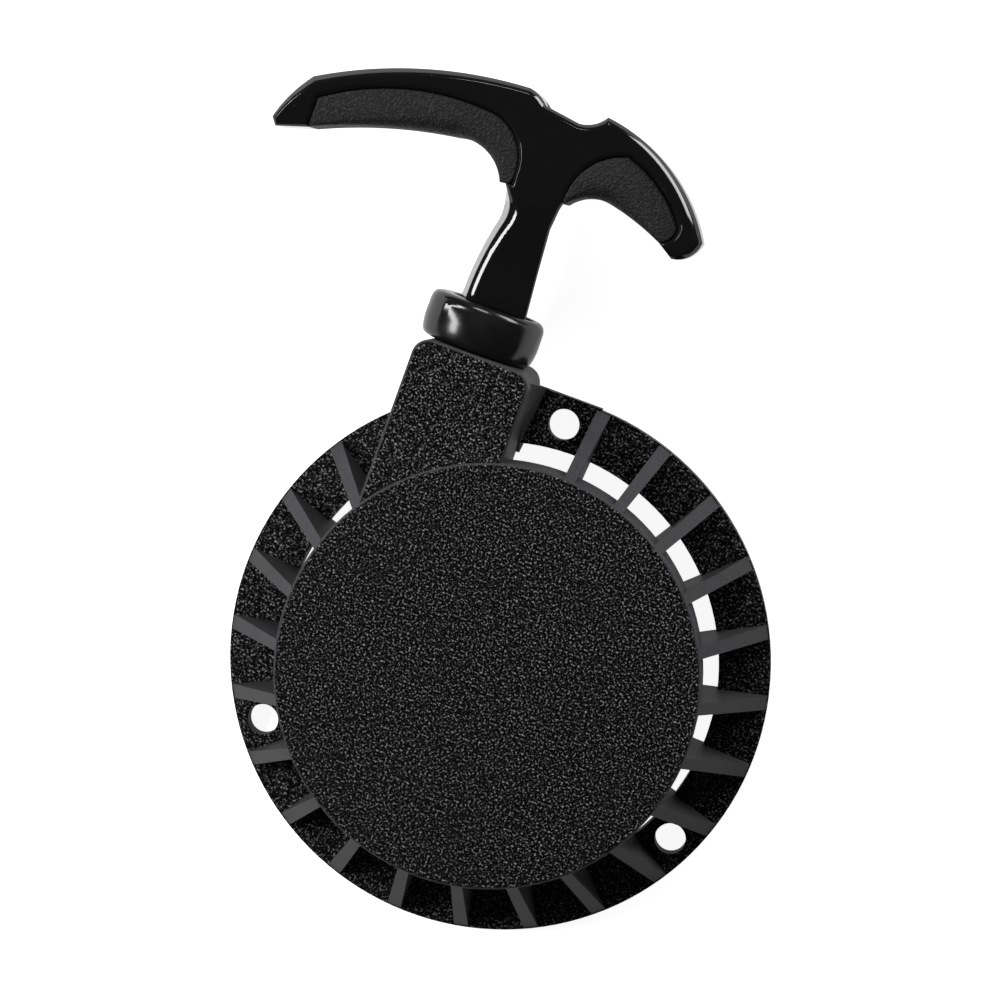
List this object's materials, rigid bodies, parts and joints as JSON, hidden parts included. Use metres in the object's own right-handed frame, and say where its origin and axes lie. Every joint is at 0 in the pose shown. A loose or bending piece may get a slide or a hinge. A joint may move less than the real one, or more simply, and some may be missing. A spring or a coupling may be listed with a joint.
{
  "type": "recoil starter",
  "caption": "Rope pull starter for a small engine: ribbed drum housing with three bolt holes, rope neck, T handle, sprung reel and swing-out pawls.",
  "frame": {"origin": "reel axis at the flange's mating face", "axes": "+Z along the reel axis from the engine towards the outer disc face, +Y along the rope as it leaves the neck"},
  "size_m": [0.1743, 0.2176, 0.036],
  "materials": {
    "housing_plastic": "coarse spark-eroded texture",
    "handle_plastic": "high gloss",
    "grip_rubber": "pebble grain",
    "bumper_rubber": "satin",
    "rope_cord": "braided nylon",
    "reel_plastic": "moulded nylon",
    "bright_steel": "zinc plated",
    "zinc_sheet": "zinc plated sheet",
    "hard_steel": "hardened",
    "spring_steel": "blued",
    "screw_steel": "yellow zinc",
    "brass": "turned",
    "bronze": "sintered"
  },
  "bodies": {
    "housing": {"housing": "housing_plastic", "threaded_insert": "brass", "rope_eyelet": "bright_steel", "handle_bumper": "bumper_rubber", "spring_case": "zinc_sheet", "spring_cover": "zinc_sheet", "recoil_spring": "spring_steel", "thrust_washer": "bright_steel", "centre_washer": "bright_steel", "centre_screw": "screw_steel"},
    "rope_end": {"rope_lead": "rope_cord", "rope_handle_knot": "rope_cord"},
    "handle": {"handle_body": "handle_plastic", "grip_pad_left": "grip_rubber", "grip_pad_right": "grip_rubber", "rope_stop_plate": "bright_steel"},
    "reel": {"reel": "reel_plastic", "reel_bush": "bronze", "rope_winding": "rope_cord", "rope_reel_knot": "rope_cord", "pawl_pins": "bright_steel", "pawl_springs": "spring_steel", "brake_spring": "spring_steel"},
    "friction_plate": {"friction_plate": "zinc_sheet"},
    "pawl_1": {"pawl_1": "hard_steel"},
    "pawl_2": {"pawl_2": "hard_steel"}
  },
  "joints": [
    {"name": "handle_pull", "type": "slide", "parent": "housing", "child": "rope_end", "axis": [0, 1, 0], "range_m": [0, 0.6], "stiffness_N_per_m": 28, "springref_m": -0.5, "deforming": ["rope_lead", "recoil_spring"]},
    {"name": "handle_twist", "type": "hinge", "parent": "rope_end", "child": "handle", "pos_m": [-0.0316, 0.12, 0.0185], "axis": [0, 1, 0], "continuous": true},
    {"name": "reel_spin", "type": "hinge", "parent": "housing", "child": "reel", "pos_m": [0, 0, 0.0185], "axis": [0, 0, 1], "range_deg": [-1412, 0]},
    {"name": "friction_plate_turn", "type": "hinge", "parent": "reel", "child": "friction_plate", "pos_m": [0, 0, 0.0087], "axis": [0, 0, 1], "range_deg": [0, 30], "stiffness_Nm_per_rad": 0.004, "springref_deg": -17.19, "deforming": ["pawl_springs"]},
    {"name": "pawl_1_swing", "type": "hinge", "parent": "reel", "child": "pawl_1", "pos_m": [0.019, 0, 0.0128], "axis": [0, 0, 1], "range_deg": [0, 25.2]},
    {"name": "pawl_2_swing", "type": "hinge", "parent": "reel", "child": "pawl_2", "pos_m": [-0.019, 0, 0.0128], "axis": [0, 0, 1], "range_deg": [0, 25.2]}
  ],
  "couplings": [
    {"joint": "reel_spin", "follows": "handle_pull", "rad_per_m": -41},
    {"joint": "pawl_1_swing", "follows": "friction_plate_turn", "ratio": 0.83333},
    {"joint": "pawl_2_swing", "follows": "friction_plate_turn", "ratio": 0.83333}
  ]
}
